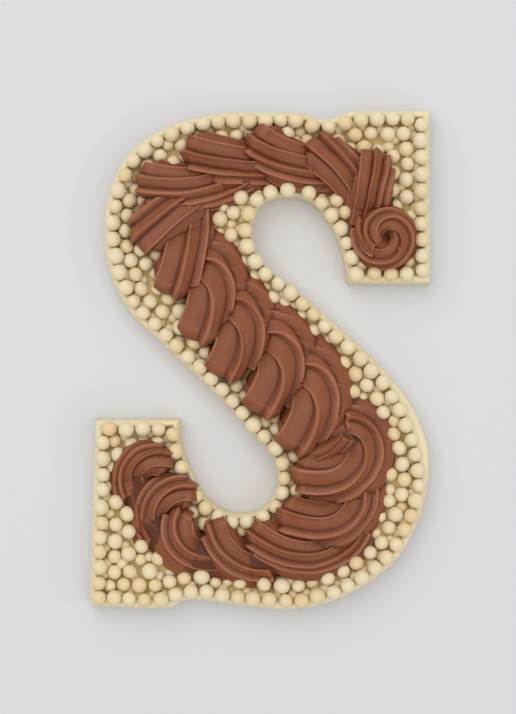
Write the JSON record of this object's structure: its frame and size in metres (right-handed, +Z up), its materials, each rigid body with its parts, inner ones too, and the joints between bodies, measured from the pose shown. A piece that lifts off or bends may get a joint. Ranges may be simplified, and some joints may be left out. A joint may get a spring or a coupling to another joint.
{
  "type": "chocolate letter",
  "caption": "Moulded white chocolate letter S with a shallow tray in its face, crisp pearls round the tray's edge and a piped rope of milk chocolate; for eating or as a table gift.",
  "frame": {"origin": "middle of the letter's height and width, on the face that it lies on", "axes": "+X to the letter's right, +Y to its top, +Z up out of its face"},
  "size_m": [0.1034, 0.1513, 0.017],
  "materials": {
    "white_chocolate": "satin, waxy",
    "milk_chocolate": "satin"
  },
  "bodies": {
    "root": {"white_chocolate_letter": "white_chocolate", "milk_chocolate_rope": "milk_chocolate"}
  },
  "joints": []
}
